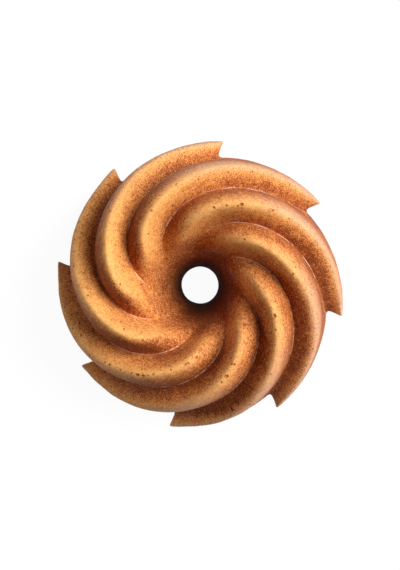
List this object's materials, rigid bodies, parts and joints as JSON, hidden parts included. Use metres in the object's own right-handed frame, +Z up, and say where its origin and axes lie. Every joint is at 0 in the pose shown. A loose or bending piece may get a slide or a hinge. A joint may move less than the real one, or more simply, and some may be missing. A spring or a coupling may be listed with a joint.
{
  "type": "fluted ring cake",
  "caption": "Ring-shaped cake with deep swirling flutes, a funnel-shaped middle hole and a flat trimmed base, as turned out of a fluted tube pan.",
  "frame": {"origin": "centre of the flat base, on the axis of the middle hole", "axes": "+Z up, along the axis of the middle hole, from the base to the crown; seen from above the flutes sweep outwards clockwise"},
  "size_m": [0.2366, 0.2365, 0.09],
  "materials": {
    "crust": "browned baked crust, golden on the crests and red-brown in the grooves, fine pores, soft sheen",
    "crumb": "pale yellow open sponge crumb, matt"
  },
  "bodies": {
    "root": {"crust": "crust", "crumb": "crumb"}
  },
  "joints": []
}
